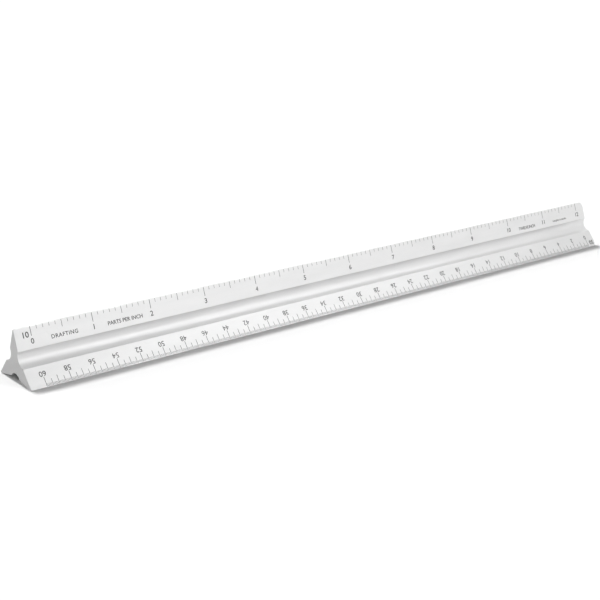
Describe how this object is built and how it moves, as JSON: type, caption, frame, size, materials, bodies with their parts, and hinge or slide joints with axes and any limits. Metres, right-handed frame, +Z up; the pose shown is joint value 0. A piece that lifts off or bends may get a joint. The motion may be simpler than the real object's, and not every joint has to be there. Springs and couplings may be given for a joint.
{
  "type": "triangular scale ruler",
  "caption": "Three-edged inch scale for drafting: a solid fluted aluminium bar with a printed engineer's scale along each of its bevelled faces.",
  "frame": {"origin": "mid-length of the bar, on the surface it stands on, below the centre of its section", "axes": "+X along the bar, the way the 10 scale reads; +Z up, through the top edge; -Y out of the side with the 10 and 50 scales"},
  "size_m": [0.317, 0.0232, 0.0201],
  "materials": {
    "anodised_aluminium": "satin clear anodised",
    "printed_marks": "matt sealed print"
  },
  "bodies": {
    "root": {"scale_bar": "anodised_aluminium", "graduations_10": "printed_marks", "graduations_50": "printed_marks", "graduations_20": "printed_marks", "graduations_40": "printed_marks", "graduations_30": "printed_marks", "graduations_60": "printed_marks"}
  },
  "joints": []
}
